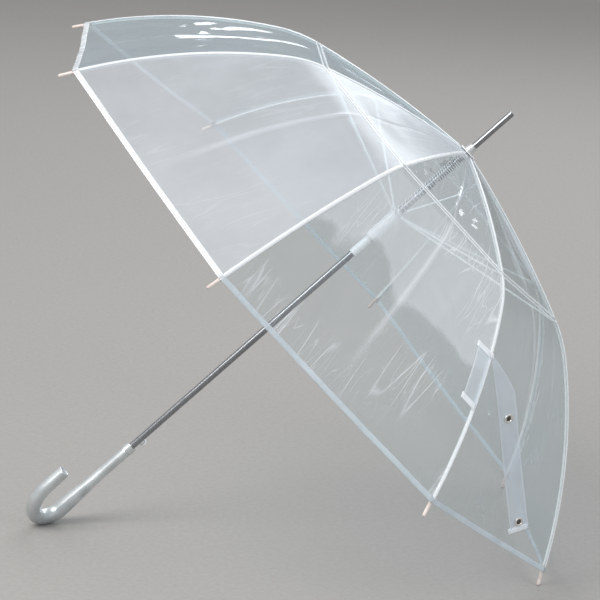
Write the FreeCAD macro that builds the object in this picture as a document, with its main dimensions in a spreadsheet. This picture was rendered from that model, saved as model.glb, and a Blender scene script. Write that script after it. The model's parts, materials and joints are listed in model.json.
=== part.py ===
import FreeCAD, Part
import math
import os
from FreeCAD import Placement, Rotation, Vector

# A clear, automatic-opening stick umbrella with a crook handle, lying open on the ground.
# Every piece is first built in the umbrella's own frame: the shaft runs along Z, the ferrule points
# up and the top of the canopy is at zero. One placement then lays the whole umbrella down.

SIZES = {
    # shaft, ferrule and the pieces at the top
    "shaft_radius": 5.0, "shaft_bore": 4.2, "shaft_bottom": 722.0, "shaft_top": 3.0,
    "ferrule_radius": 4.5, "ferrule_length": 83.6, "ferrule_rounding": 1.5, "neck_radius": 4.0,
    "neck_top": 12.6,
    "cone_base_radius": 8.5, "cone_top_radius": 6.2, "cone_height": 11.0,
    "rosette_radius": 13.4, "rosette_thickness": 1.0,
    "crown_radius": 12.5, "crown_height": 7.4, "crown_drop": 1.8,
    "crown_slot_width": 3.4, "crown_slot_radius": 7.0,
    "hinge_radius": 10.0, "hinge_drop": 4.4, "hinge_wire": 0.6, "hinge_groove": 0.8,
    # the meridian of the canopy over a rib: three arcs that run into each other
    "start_slope": 7.8, "inner_arc": 269.0, "inner_turn": 10.2, "knee_arc": 66.3, "knee_turn": 18.0,
    "outer_arc": 293.0, "outer_turn": 21.6,
    # film, ribs and stretchers
    "rib_count": 8, "film_thickness": 0.3, "film_gap": 0.2, "film_start": 14.4, "crease_gap": 0.3,
    "rib_width": 2.8, "rib_height": 2.8, "rib_depth": 3.0, "rib_root": 8.6,
    "fork_width": 5.0, "fork_gap": 3.4, "fork_length": 13.0, "fork_reach": 2.2, "fork_slot": 4.5,
    "pin_radius": 0.9, "pin_hole": 1.0, "pin_length": 8.4,
    "cap_radius": 2.3, "cap_start": 10.0, "cap_reach": 18.0,
    "bar_width": 2.2, "bar_height": 2.4, "eye_radius": 1.4,
    "yoke_width": 7.2, "yoke_gap": 5.6, "yoke_length": 12.0, "yoke_slot": 10.0,
    # runner and its spring
    "runner_drop": 133.0, "runner_clearance": 0.08, "bar_end_radius": 12.2,
    "flange_radius": 10.2, "flange_thickness": 2.2, "runner_groove_radius": 8.6,
    "runner_groove_width": 2.6, "runner_ring_radius": 9.5,
    "body_radius": 9.0, "body_length": 47.0, "sleeve_radius": 6.3, "sleeve_length": 35.0,
    "catch_window_width": 3.6, "catch_window_height": 9.0, "catch_window_rise": 3.5,
    "spring_inner": 6.2, "spring_outer": 7.4, "stop_radius": 5.9, "stop_height": 2.0,
    "shoulder_height": 4.0, "spring_gap": 0.3,
    # push button and catch, near the handle
    "button_drop": 634.5, "button_radius": 5.5, "button_centre": 10.2, "button_flat": 8.3,
    "button_block": 20.0, "stem_width": 2.8, "stem_length": 6.0, "stem_lap": 0.5,
    "slot_width": 3.4, "slot_margin": 4.5, "lever_thickness": 1.6, "lever_centre": 1.4,
    "catch_rise": 34.5, "nose_reach": 7.6, "nose_height": 4.0,
    "press_spring_radius": 1.3, "press_spring_gap": 0.4,
    # handle
    "handle_drop": 648.0, "collar_radius": 8.9, "collar_tip_radius": 8.2, "collar_length": 11.0,
    "grip_radius": 7.6, "grip_end": 735.0, "bend_start": 792.0, "bend_tube": 11.4, "bend_radius": 27.0,
    "bend_angle": 140.0, "easy_radius": 60.0, "hook_length": 34.0, "hook_end_radius": 8.8,
    "handle_bore": 5.05, "crook_lean": 40.0,
    # closing strap: where it leaves its rib, how it hangs once laid down, and its two snaps
    "strap_along": 128.5, "strap_aside": 5.0, "strap_offset": 11.0, "strap_bearing": -66.0,
    "strap_lean": 10.8, "strap_width": 28.0, "strap_length": 257.0, "strap_thickness": 0.6,
    "snap_radius": 6.2, "snap_height": 2.6, "first_snap": 94.0, "second_snap": 246.0,
    # fits and how far cutting tools reach past the piece they cut
    "press_fit": 0.05, "overshoot": 1.0, "blade_lap": 2.0,
}

doc = FreeCAD.newDocument("umbrella")
sheet = doc.addObject("Spreadsheet::Sheet", "dims")
for row, (alias, value) in enumerate(SIZES.items(), 1):
    sheet.set(f"A{row}", alias)
    sheet.set(f"B{row}", str(value))
    sheet.setAlias(f"B{row}", alias)
doc.recompute()


def size(alias):
    """The value of one driving dimension, read back from the sheet."""
    return float(getattr(sheet, alias))


RIBS = int(size("rib_count"))
STEP = 360.0 / RIBS
JOINT_AT = size("inner_arc")
TIP_AT = size("inner_arc") + size("knee_arc") + size("outer_arc")
DEPTH = size("rib_depth")


# ---------------------------------------------------------------- geometry of the canopy

def meridian(along, depth=0.0):
    """Radius and height of a point on a rib's line, and the line's heading there.

    along is the length from the top of the canopy, and depth is how far under the film it lies."""
    radius = 0.0
    height = 0.0
    heading = -math.radians(size("start_slope"))
    left = along
    for name in ("inner", "knee", "outer"):
        length = size(name + "_arc")
        bend = length / math.radians(size(name + "_turn"))
        swept = min(left, length) / bend
        radius += bend * (math.sin(heading) - math.sin(heading - swept))
        height += bend * (math.cos(heading - swept) - math.cos(heading))
        heading -= swept
        left -= min(left, length)
    radius += left * math.cos(heading) + depth * math.sin(heading)
    height += left * math.sin(heading) - depth * math.cos(heading)
    return radius, height, heading


def on_meridian(along, depth):
    """The same point as a vector in the XZ plane."""
    radius, height, _ = meridian(along, depth)
    return Vector(radius, 0, height)


def arcs_along(start, end, depth):
    """Arcs that follow the meridian from one length to another."""
    knots = [size("inner_arc"), size("inner_arc") + size("knee_arc")]
    stops = [start] + [k for k in knots if start < k < end] + [end]
    found = []
    for low, high in zip(stops, stops[1:]):
        points = [on_meridian(a, depth) for a in (low, (low + high) / 2, high)]
        found.append(Part.Arc(*points))
    return found


def ribbon_edges(start, end, top, bottom):
    """The outline of a curved strip between two depths, in the XZ plane."""
    outer = arcs_along(start, end, top)
    inner = arcs_along(start, end, bottom)
    far = Part.LineSegment(on_meridian(end, top), on_meridian(end, bottom))
    near = Part.LineSegment(on_meridian(start, bottom), on_meridian(start, top))
    return outer + [far] + inner + [near]


def box_edges(origin, heading, back, front, half):
    """The outline of a rectangle along a heading, in the XZ plane."""
    ahead = Vector(math.cos(heading), 0, math.sin(heading))
    side = Vector(-math.sin(heading), 0, math.cos(heading))
    corners = [origin + ahead * a + side * s
               for a, s in ((back, -half), (front, -half), (front, half), (back, half))]
    return [Part.LineSegment(a, b) for a, b in zip(corners, corners[1:] + corners[:1])]


def circle_edges(centre, radius):
    """A circle in the XZ plane."""
    return [Part.Circle(centre, Vector(0, -1, 0), radius)]


CROWN_HINGE = Vector(size("hinge_radius"), 0, -size("hinge_drop"))
JOINT = on_meridian(JOINT_AT, DEPTH)
JOINT_HEADING = meridian(JOINT_AT)[2]
BAR_END = Vector(size("bar_end_radius"), 0, -size("runner_drop"))


# ---------------------------------------------------------------- helpers for document objects

def bind(thing, **sizes):
    """Ties an object's properties to cells of the sheet."""
    for prop, expression in sizes.items():
        thing.setExpression(prop, expression)
    return thing


def cell(alias):
    return "dims." + alias


def cylinder(name, radius, height, base=Vector(0, 0, 0), turn=Rotation()):
    """A cylinder with its radius and height tied to the sheet."""
    thing = doc.addObject("Part::Cylinder", name)
    thing.Placement = Placement(base, turn)
    return bind(thing, Radius=radius, Height=height)


def cone(name, first, second, height, base=Vector(0, 0, 0), turn=Rotation()):
    thing = doc.addObject("Part::Cone", name)
    thing.Placement = Placement(base, turn)
    return bind(thing, Radius1=first, Radius2=second, Height=height)


def cut(name, base, tool):
    thing = doc.addObject("Part::Cut", name)
    thing.Base = base
    thing.Tool = tool
    return thing


def fuse(name, things):
    thing = doc.addObject("Part::MultiFuse", name)
    thing.Shapes = things
    return thing


def plane_of(body, role):
    """One of the origin planes of a body."""
    return next(f for f in body.Origin.OriginFeatures if f.Role == role)


def sketch_in(body, name, role, edges, lift=None):
    """A sketch on an origin plane of the body. Edges are given in the body's own XZ or XY plane."""
    sketch = body.newObject("Sketcher::SketchObject", name)
    sketch.AttachmentSupport = [(plane_of(body, role), "")]
    sketch.MapMode = "FlatFace"
    if lift is not None:
        sketch.AttachmentOffset = Placement(Vector(0, 0, lift), Rotation())
    flat = Rotation(Vector(1, 0, 0), -90) if role == "XZ_Plane" else Rotation()
    for edge in edges:
        copy = edge.copy()
        copy.rotate(Placement(Vector(0, 0, 0), flat))
        sketch.addGeometry(copy, False)
    return sketch


def pad(body, name, sketch, length):
    """A pad to both sides of its sketch."""
    feature = body.newObject("PartDesign::Pad", name)
    feature.Profile = sketch
    feature.SideType = "Symmetric"
    return bind(feature, Length=length)


def pocket(body, name, sketch, length):
    """A pocket to both sides of its sketch."""
    feature = body.newObject("PartDesign::Pocket", name)
    feature.Profile = sketch
    feature.SideType = "Symmetric"
    return bind(feature, Length=length)


NODES = []


def node(thing, label, local=Placement()):
    """Takes an object as a kept piece: its label names the file. It is laid down later."""
    thing.Label = label
    NODES.append((thing, local))
    return thing


def around(angle):
    return Placement(Vector(0, 0, 0), Rotation(Vector(0, 0, 1), angle))


def rib_angle(index):
    """The ribs stand either side of the lowest line of the open canopy."""
    return STEP / 2 + STEP * index


# ---------------------------------------------------------------- shaft and top pieces

def make_shaft():
    length = "dims.shaft_bottom + dims.shaft_top"
    base = Vector(0, 0, -size("shaft_bottom"))
    tube = cut("tube", cylinder("tube_outer", cell("shaft_radius"), length, base),
               cylinder("tube_inner", cell("shaft_bore"), length, base))
    window = doc.addObject("Part::Box", "tube_window")
    bind(window, Length="dims.shaft_radius + dims.overshoot", Width=cell("slot_width"),
         Height="dims.catch_rise + 2 * dims.slot_margin")
    turn = Rotation(Vector(0, 0, 1), size("crook_lean"))
    corner = turn.multVec(Vector(0, -size("slot_width") / 2, 0))
    level = Vector(0, 0, -size("button_drop") - size("slot_margin"))
    window.Placement = Placement(corner + level, turn)
    node(cut("shaft_piece", tube, window), "shaft_tube")


def make_ferrule():
    """The bright rod above the canopy, on a thinner neck that stands in the collar."""
    body = doc.addObject("PartDesign::Body", "ferrule_body")
    ring = sketch_in(body, "ferrule_circle", "XY_Plane",
                     [Part.Circle(Vector(0, 0, 0), Vector(0, 0, 1), size("ferrule_radius"))],
                     size("neck_top"))
    rod = body.newObject("PartDesign::Pad", "ferrule_rod")
    rod.Profile = ring
    bind(rod, Length="dims.ferrule_length - dims.neck_top")
    neck_ring = sketch_in(body, "neck_circle", "XY_Plane",
                          [Part.Circle(Vector(0, 0, 0), Vector(0, 0, 1), size("neck_radius"))],
                          size("neck_top"))
    neck = body.newObject("PartDesign::Pad", "ferrule_neck")
    neck.Profile = neck_ring
    neck.Reversed = True
    bind(neck, Length="dims.neck_top - dims.shaft_top")
    doc.recompute()
    tip = max(range(len(neck.Shape.Edges)), key=lambda n: neck.Shape.Edges[n].CenterOfMass.z)
    rounded = body.newObject("PartDesign::Fillet", "ferrule_tip")
    rounded.Base = (neck, [f"Edge{tip + 1}"])
    bind(rounded, Radius=cell("ferrule_rounding"))
    node(body, "ferrule")


def make_top_cover():
    base = Vector(0, 0, size("rosette_thickness"))
    shell = cone("cone_outer", cell("cone_base_radius"), cell("cone_top_radius"), cell("cone_height"), base)
    bore = cylinder("cone_bore", "dims.shaft_radius + dims.press_fit", "dims.shaft_top")
    neck_bore = cylinder("cone_neck_bore", "dims.neck_radius + dims.press_fit",
                         "dims.cone_height + 2 * dims.overshoot")
    node(cut("cone_piece", shell, fuse("cone_bores", [bore, neck_bore])), "ferrule_collar")
    disc = cylinder("rosette_disc", cell("rosette_radius"), cell("rosette_thickness"))
    hole = cylinder("rosette_hole", "dims.shaft_radius + dims.press_fit",
                    "dims.rosette_thickness + 2 * dims.overshoot", Vector(0, 0, -size("overshoot")))
    node(cut("rosette_piece", disc, hole), "top_rosette")


def make_crown():
    """The top notch: a slotted disc on the shaft, with a groove for the wire that the ribs turn on."""
    body = doc.addObject("PartDesign::Body", "crown_body")
    top = -size("crown_drop")
    outline = [Part.Circle(Vector(0, 0, 0), Vector(0, 0, 1), size("crown_radius")),
               Part.Circle(Vector(0, 0, 0), Vector(0, 0, 1), size("shaft_radius") + size("press_fit"))]
    disc = body.newObject("PartDesign::Pad", "crown_disc")
    disc.Profile = sketch_in(body, "crown_outline", "XY_Plane", outline, top)
    disc.Reversed = True
    bind(disc, Length=cell("crown_height"))
    groove = [Part.Circle(Vector(0, 0, 0), Vector(0, 0, 1), size("hinge_radius") + size("hinge_groove")),
              Part.Circle(Vector(0, 0, 0), Vector(0, 0, 1), size("hinge_radius") - size("hinge_groove"))]
    channel = body.newObject("PartDesign::Pocket", "crown_groove")
    channel.Profile = sketch_in(body, "crown_groove_rings", "XY_Plane", groove, top)
    bind(channel, Length="dims.hinge_drop - dims.crown_drop + dims.hinge_wire + 2 * dims.press_fit")
    half = size("crown_slot_width") / 2
    near = size("crown_slot_radius")
    far = size("crown_radius") + size("overshoot")
    corners = [Vector(near, -half, 0), Vector(far, -half, 0), Vector(far, half, 0), Vector(near, half, 0)]
    edges = [Part.LineSegment(a, b) for a, b in zip(corners, corners[1:] + corners[:1])]
    slot = body.newObject("PartDesign::Pocket", "crown_slot")
    slot.Profile = sketch_in(body, "crown_slot_outline", "XY_Plane", edges, top)
    bind(slot, Length="dims.crown_height + dims.overshoot")
    doc.recompute()
    slots = body.newObject("PartDesign::PolarPattern", "crown_slots")
    slots.Originals = [slot]
    slots.Axis = (next(f for f in body.Origin.OriginFeatures if f.Role == "Z_Axis"), [""])
    slots.Angle = 360
    slots.Occurrences = RIBS
    body.Tip = slots
    doc.recompute()
    node(body, "crown", around(rib_angle(0)))
    wire = doc.addObject("Part::Torus", "crown_wire")
    bind(wire, Radius1=cell("hinge_radius"), Radius2=cell("hinge_wire"))
    node(wire, "crown_ring", Placement(Vector(0, 0, -size("hinge_drop")), Rotation()))


# ---------------------------------------------------------------- ribs, stretchers and film

def make_inner_rib(index):
    """From the crown's wire to the joint, where a fork holds the outer rib and the pin."""
    body = doc.addObject("PartDesign::Body", f"inner_rib_body_{index + 1}")
    top = DEPTH - size("rib_height") / 2
    bottom = DEPTH + size("rib_height") / 2
    blade = sketch_in(body, f"inner_outline_{index + 1}", "XZ_Plane",
                      ribbon_edges(size("rib_root"), JOINT_AT - size("fork_length") + size("blade_lap"),
                                   top, bottom))
    pad(body, f"inner_blade_{index + 1}", blade, cell("rib_width"))
    block = sketch_in(body, f"fork_outline_{index + 1}", "XZ_Plane",
                      box_edges(JOINT, JOINT_HEADING, -size("fork_length"), size("fork_reach"),
                                size("eye_radius")))
    pad(body, f"fork_{index + 1}", block, cell("fork_width"))
    gap = sketch_in(body, f"fork_gap_outline_{index + 1}", "XZ_Plane",
                    box_edges(JOINT, JOINT_HEADING, -size("fork_slot"),
                              size("fork_reach") + size("overshoot"),
                              size("eye_radius") + size("overshoot")))
    pocket(body, f"fork_gap_{index + 1}", gap, cell("fork_gap"))
    pin = sketch_in(body, f"pin_outline_{index + 1}", "XZ_Plane", circle_edges(JOINT, size("pin_radius")))
    pad(body, f"pin_{index + 1}", pin, cell("pin_length"))
    eye = sketch_in(body, f"eye_outline_{index + 1}", "XZ_Plane",
                    circle_edges(CROWN_HINGE, size("hinge_groove")))
    pocket(body, f"eye_{index + 1}", eye, "dims.rib_width + 2 * dims.overshoot")
    node(body, f"rib_inner_{index + 1}", around(rib_angle(index)))


def make_outer_rib(index):
    """From the joint to the rim, with the plastic cap that holds the film's corner."""
    body = doc.addObject("PartDesign::Body", f"outer_rib_body_{index + 1}")
    top = DEPTH - size("rib_height") / 2
    bottom = DEPTH + size("rib_height") / 2
    cap_at = TIP_AT - size("cap_start")
    blade = sketch_in(body, f"outer_outline_{index + 1}", "XZ_Plane",
                      ribbon_edges(JOINT_AT, cap_at, top, bottom))
    pad(body, f"outer_blade_{index + 1}", blade, cell("rib_width"))
    root = sketch_in(body, f"root_outline_{index + 1}", "XZ_Plane",
                     circle_edges(JOINT, size("eye_radius")))
    pad(body, f"outer_root_{index + 1}", root, cell("rib_width"))
    hole = sketch_in(body, f"hole_outline_{index + 1}", "XZ_Plane", circle_edges(JOINT, size("pin_hole")))
    pocket(body, f"outer_hole_{index + 1}", hole, "dims.rib_width + 2 * dims.overshoot")
    heading = meridian(cap_at)[2]
    ahead = Vector(math.cos(heading), 0, math.sin(heading))
    along = Rotation(Vector(0, 0, 1), ahead)
    base = on_meridian(cap_at, DEPTH)
    length = "dims.cap_start + dims.cap_reach"
    barrel = cylinder(f"cap_barrel_{index + 1}", cell("cap_radius"), length, base, along)
    nose = doc.addObject("Part::Sphere", f"cap_nose_{index + 1}")
    bind(nose, Radius=cell("cap_radius"))
    nose.Placement = Placement(base + ahead * (size("cap_start") + size("cap_reach")), along)
    pair = doc.addObject("Part::Compound", f"outer_rib_and_cap_{index + 1}")
    pair.Links = [body, fuse(f"cap_{index + 1}", [barrel, nose])]
    node(pair, f"rib_outer_{index + 1}", around(rib_angle(index)))


def make_stretcher(index):
    """The bar from the rib's joint to the runner, with a yoke that straddles the fork."""
    body = doc.addObject("PartDesign::Body", f"stretcher_body_{index + 1}")
    run = BAR_END - JOINT
    heading = math.atan2(run.z, run.x)
    half = size("bar_height") / 2
    yoke = sketch_in(body, f"yoke_outline_{index + 1}", "XZ_Plane",
                     box_edges(JOINT, heading, -size("eye_radius"), size("yoke_length"), size("eye_radius")))
    pad(body, f"yoke_{index + 1}", yoke, cell("yoke_width"))
    gap = sketch_in(body, f"yoke_gap_outline_{index + 1}", "XZ_Plane",
                    box_edges(JOINT, heading, -size("eye_radius") - size("overshoot"), size("yoke_slot"),
                              size("eye_radius") + size("overshoot")))
    pocket(body, f"yoke_gap_{index + 1}", gap, cell("yoke_gap"))
    bar = sketch_in(body, f"bar_outline_{index + 1}", "XZ_Plane",
                    box_edges(JOINT, heading, size("yoke_slot"), run.Length, half))
    pad(body, f"bar_{index + 1}", bar, cell("bar_width"))
    hole = sketch_in(body, f"yoke_hole_outline_{index + 1}", "XZ_Plane",
                     circle_edges(JOINT, size("pin_hole")))
    pocket(body, f"yoke_hole_{index + 1}", hole, "dims.yoke_width + 2 * dims.overshoot")
    node(body, f"stretcher_{index + 1}", around(rib_angle(index)))


def film_section(start, end, angle, aside):
    """The closed outline of the film over a rib, moved a little aside of the rib's plane."""
    edges = [e.toShape() for e in ribbon_edges(start, end, 0, size("film_thickness"))]
    wire = Part.Wire(Part.__sortEdges__(edges))
    wire.translate(Vector(0, aside, 0))
    wire.rotate(Vector(0, 0, 0), Vector(0, 0, 1), angle)
    return wire


def make_gore(index, name, start, end):
    """One panel of film from a rib to the next. It is straight from rib to rib, as taut film is."""
    aside = size("film_gap")
    first = film_section(start, end, rib_angle(index), aside)
    second = film_section(start, end, rib_angle(index + 1), -aside)
    panel = doc.addObject("Part::Feature", f"{name}_shape_{index + 1}")
    panel.Shape = Part.makeLoft([first, second], True, True)
    node(panel, f"{name}_{index + 1}")


# ---------------------------------------------------------------- runner, spring and catch

def make_runner():
    """The runner: two flanges around the stretchers' wire, a wide body and a narrow sleeve."""
    top = -size("runner_drop") + size("runner_groove_width") / 2 + size("flange_thickness")
    heights = [("flange_top", "flange_radius", "flange_thickness"),
               ("groove_core", "runner_groove_radius", "runner_groove_width"),
               ("flange_low", "flange_radius", "flange_thickness"),
               ("runner_barrel", "body_radius", "body_length"),
               ("runner_sleeve", "sleeve_radius", "sleeve_length")]
    pieces = []
    for name, radius, height in heights:
        top -= size(height)
        pieces.append(cylinder(name, cell(radius), cell(height), Vector(0, 0, top)))
    shoulder = cone("runner_shoulder", cell("sleeve_radius"), cell("body_radius"), cell("shoulder_height"),
                    Vector(0, 0, top + size("sleeve_length") - size("shoulder_height")))
    whole = " + ".join(cell(height) for _, _, height in heights)
    bore = cylinder("runner_bore", "dims.shaft_radius + dims.runner_clearance",
                    whole + " + 2 * dims.overshoot", Vector(0, 0, top - size("overshoot")))
    window = doc.addObject("Part::Box", "runner_window")
    bind(window, Length="dims.sleeve_radius + dims.overshoot", Width=cell("catch_window_width"),
         Height=cell("catch_window_height"))
    turn = Rotation(Vector(0, 0, 1), size("crook_lean"))
    corner = turn.multVec(Vector(0, -size("catch_window_width") / 2, 0))
    window.Placement = Placement(corner + Vector(0, 0, top + size("catch_window_rise")), turn)
    outer = fuse("runner_outer", pieces + [shoulder])
    node(cut("runner_piece", outer, fuse("runner_voids", [bore, window])), "runner")
    wire = doc.addObject("Part::Torus", "runner_wire")
    bind(wire, Radius1=cell("runner_ring_radius"), Radius2=cell("hinge_wire"))
    node(wire, "runner_ring", Placement(Vector(0, 0, -size("runner_drop")), Rotation()))


def make_opening_spring():
    """The long spring that pulls the runner up, as the tube that its turns fill, and the stop under it."""
    flange = -size("runner_drop") + size("runner_groove_width") / 2 + size("flange_thickness")
    top = -size("crown_drop") - size("crown_height") - size("spring_gap")
    bottom = flange + size("spring_gap")
    height = f"{top - bottom}"
    base = Vector(0, 0, bottom)
    turns = cut("spring_tube", cylinder("spring_out", cell("spring_outer"), height, base),
                cylinder("spring_in", cell("spring_inner"), height, base))
    node(turns, "open_spring")
    collar = cut("stop_piece", cylinder("stop_out", cell("stop_radius"), cell("stop_height"), base),
                 cylinder("stop_in", cell("shaft_radius"), cell("stop_height"), base))
    node(collar, "runner_stop")


def make_button():
    """The thumb button, the catch lever inside the shaft, and the small spring behind it."""
    out = Rotation(Vector(0, 0, 1), size("crook_lean"))
    level = Vector(0, 0, -size("button_drop"))
    ball = doc.addObject("Part::Sphere", "button_ball")
    bind(ball, Radius=cell("button_radius"))
    ball.Placement = Placement(out.multVec(Vector(size("button_centre"), 0, 0)) + level, out)
    shave = doc.addObject("Part::Box", "button_shave")
    block = size("button_block")
    bind(shave, Length=cell("button_block"), Width=cell("button_block"), Height=cell("button_block"))
    shave_corner = Vector(size("button_flat") - block, -block / 2, -block / 2)
    shave.Placement = Placement(out.multVec(shave_corner) + level, out)
    stem = doc.addObject("Part::Box", "button_stem")
    reach = size("button_flat") - size("lever_centre") - size("lever_thickness") / 2
    bind(stem, Length=f"{reach} + dims.stem_lap", Width=cell("stem_width"), Height=cell("stem_length"))
    stem_from = size("lever_centre") + size("lever_thickness") / 2
    stem.Placement = Placement(out.multVec(Vector(stem_from, -size("stem_width") / 2, 0)) + level
                               - Vector(0, 0, size("stem_length") / 2), out)
    node(fuse("button_piece", [cut("button_dome", ball, shave), stem]), "push_button")
    bar = doc.addObject("Part::Box", "lever_bar")
    bind(bar, Length=cell("lever_thickness"), Width=cell("stem_width"),
         Height="dims.catch_rise + dims.stem_length")
    low = size("lever_centre") - size("lever_thickness") / 2
    bar.Placement = Placement(out.multVec(Vector(low, -size("stem_width") / 2, 0)) + level
                              - Vector(0, 0, size("stem_length") / 2), out)
    nose = doc.addObject("Part::Box", "lever_nose")
    bind(nose, Length=f"{size('nose_reach') - low}", Width=cell("stem_width"), Height=cell("nose_height"))
    nose_at = size("catch_rise") + size("stem_length") / 2 - size("nose_height")
    nose.Placement = Placement(out.multVec(Vector(low, -size("stem_width") / 2, 0)) + level
                               + Vector(0, 0, nose_at), out)
    node(fuse("lever_piece", [bar, nose]), "catch_lever")
    inward = Rotation(Vector(0, 0, 1), out.multVec(Vector(-1, 0, 0)))
    behind = cylinder("press_spring", cell("press_spring_radius"),
                      f"{low} + dims.shaft_bore - dims.press_spring_gap",
                      out.multVec(Vector(low, 0, 0)) + level, inward)
    node(behind, "button_spring")


# ---------------------------------------------------------------- handle

def make_handle():
    """A collar and a J-shaped crook: a straight grip, a bend, an easier bend and a short hook."""
    top = size("handle_drop")
    shell = cone("collar_shell", cell("collar_radius"), cell("collar_tip_radius"), cell("collar_length"),
                 Vector(0, 0, -top - size("collar_length")))
    bore = cylinder("collar_bore", cell("handle_bore"), "dims.collar_length + 2 * dims.overshoot",
                    Vector(0, 0, -top - size("collar_length") - size("overshoot")))
    node(cut("collar_piece", shell, bore), "handle_collar")

    lean = Rotation(Vector(0, 0, 1), 180 + size("crook_lean"))
    grip_top = top + size("collar_length")
    grip = cylinder("grip", cell("grip_radius"), f"{size('grip_end') - grip_top}",
                    Vector(0, 0, -size("grip_end")))
    swell = cone("grip_swell", cell("bend_tube"), cell("grip_radius"), "dims.bend_start - dims.grip_end",
                 Vector(0, 0, -size("bend_start")))
    upright = lean.multiply(Rotation(Vector(1, 0, 0), -90))

    def bend(name, radius, centre, first, angle):
        ring = doc.addObject("Part::Torus", name)
        bind(ring, Radius1=radius, Radius2=cell("bend_tube"), Angle3=angle)
        turn = upright.multiply(Rotation(Vector(0, 0, 1), first))
        ring.Placement = Placement(lean.multVec(centre), turn)
        return ring

    tight = size("bend_radius")
    easy = size("easy_radius")
    swept = math.radians(size("bend_angle"))
    first_centre = Vector(tight, 0, -size("bend_start"))
    second_centre = first_centre + Vector(math.cos(swept), 0, math.sin(swept)) * (easy - tight)
    sharp = bend("sharp_bend", cell("bend_radius"), first_centre, 180 - size("bend_angle"),
                 cell("bend_angle"))
    gentle = bend("easy_bend", cell("easy_radius"), second_centre, 0, "180 - dims.bend_angle")
    hook_foot = second_centre + Vector(easy, 0, 0)
    hook = cone("hook", cell("bend_tube"), cell("hook_end_radius"), cell("hook_length"),
                lean.multVec(hook_foot))
    solid = fuse("crook_solid", [grip, swell, sharp, gentle, hook])
    hole = cylinder("crook_bore", cell("handle_bore"),
                    f"dims.shaft_bottom - {grip_top} + 2 * dims.overshoot",
                    Vector(0, 0, -size("shaft_bottom") - size("overshoot")))
    node(cut("crook_piece", solid, hole), "crook_handle")


# ---------------------------------------------------------------- the lying pose

def lying_tilt():
    """How far the shaft leans from upright when two rib caps and the crook's bend touch the ground."""
    heading = meridian(TIP_AT - size("cap_start"))[2]
    base = on_meridian(TIP_AT - size("cap_start"), DEPTH)
    reach = size("cap_start") + size("cap_reach")
    end = base + Vector(math.cos(heading), 0, math.sin(heading)) * reach
    end_x = end.x * math.cos(math.radians(STEP / 2))

    def gap(tilt):
        rise = math.cos(tilt)
        lean = math.sin(tilt)
        caps = -end_x * lean + end.z * rise - size("cap_radius")
        across = math.cos(math.radians(size("crook_lean"))) * lean
        dip = math.hypot(across, rise) - across
        crook = -size("bend_start") * rise - size("bend_radius") * dip - size("bend_tube")
        return caps - crook

    low = math.radians(20)
    high = math.radians(70)
    for _ in range(60):
        middle = (low + high) / 2
        if gap(middle) > 0:
            low = middle
        else:
            high = middle
    return math.degrees(middle)


TILT = lying_tilt()
LAY = Rotation(Vector(0, 1, 0), TILT)
TO_LOCAL = LAY.inverted()
UP = TO_LOCAL.multVec(Vector(0, 0, 1))


# ---------------------------------------------------------------- closing strap

STRAP_RIB = 6


def strap_frame():
    """The strap's top, and its directions: across it, down it and off the film towards open air."""
    at = around(rib_angle(STRAP_RIB)).multVec(on_meridian(JOINT_AT + size("strap_along"), 0))
    level_off = TO_LOCAL.multVec(Rotation(Vector(0, 0, 1), size("strap_bearing")).multVec(Vector(1, 0, 0)))
    beside = UP.cross(level_off)
    lean = Rotation(level_off, size("strap_lean"))
    top = at + beside * size("strap_aside") + level_off * size("strap_offset")
    return top, lean.multVec(beside), lean.multVec(UP.negative()), level_off


def make_strap():
    """A flat band that hangs free of the film, with two snaps on its outer side."""
    top, across, down, off = strap_frame()
    face = off * size("strap_thickness")
    band = doc.addObject("Part::Box", "strap_band")
    bind(band, Length=cell("strap_width"), Width=cell("strap_thickness"), Height=cell("strap_length"))
    corner = top + face + down * size("strap_length") - across * (size("strap_width") / 2)
    band.Placement = Placement(corner, Rotation(across, off.negative(), down.negative(), "XZY"))
    node(band, "strap")
    pair = doc.addObject("Part::Compound", "snap_pair")
    pair.Links = [cylinder(name + "_rivet", cell("snap_radius"), cell("snap_height"),
                           top + face + down * size(name), Rotation(Vector(0, 0, 1), off))
                  for name in ("first_snap", "second_snap")]
    node(pair, "strap_snaps")


make_shaft()
make_ferrule()
make_top_cover()
make_crown()
for rib in range(RIBS):
    make_inner_rib(rib)
    make_outer_rib(rib)
    make_stretcher(rib)
    make_gore(rib, "film_inner", size("film_start"), JOINT_AT - size("crease_gap") / 2)
    make_gore(rib, "film_outer", JOINT_AT + size("crease_gap") / 2, TIP_AT)
make_runner()
make_opening_spring()
make_button()
make_handle()
make_strap()
doc.recompute()


# ---------------------------------------------------------------- lay it down, check it and write it

def lowest_and_middle(shapes):
    """The middle of the box of all shapes along X and Y, and its lowest height."""
    points = [p for s in shapes for p in s.tessellate(0.2)[0]]
    xs = [p.x for p in points]
    ys = [p.y for p in points]
    return Vector((min(xs) + max(xs)) / 2, (min(ys) + max(ys)) / 2, min(p.z for p in points))


for thing, local in NODES:
    thing.Placement = Placement(Vector(0, 0, 0), LAY).multiply(local).multiply(thing.Placement)
doc.recompute()
ORIGIN = lowest_and_middle([thing.Shape for thing, _ in NODES])
for thing, _ in NODES:
    thing.Placement = Placement(ORIGIN.negative(), Rotation()).multiply(thing.Placement)
doc.recompute()

for thing in doc.Objects:
    if "Invalid" in thing.State or "Error" in thing.State:
        raise RuntimeError(f"{thing.Label} did not recompute")
os.makedirs("parts", exist_ok=True)
for thing, _ in NODES:
    shape = thing.Shape
    if shape.isNull() or not shape.isValid() or shape.Volume <= 0:
        raise RuntimeError(f"{thing.Label} has no sound shape")
    shape.exportStep(f"parts/{thing.Label}.step")
print(f"{len(NODES)} pieces, tilt {TILT:.3f} deg, origin {ORIGIN}")
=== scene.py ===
import json
import math
import random

import bpy
import numpy as np
from mathutils import Matrix, Vector, noise


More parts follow.
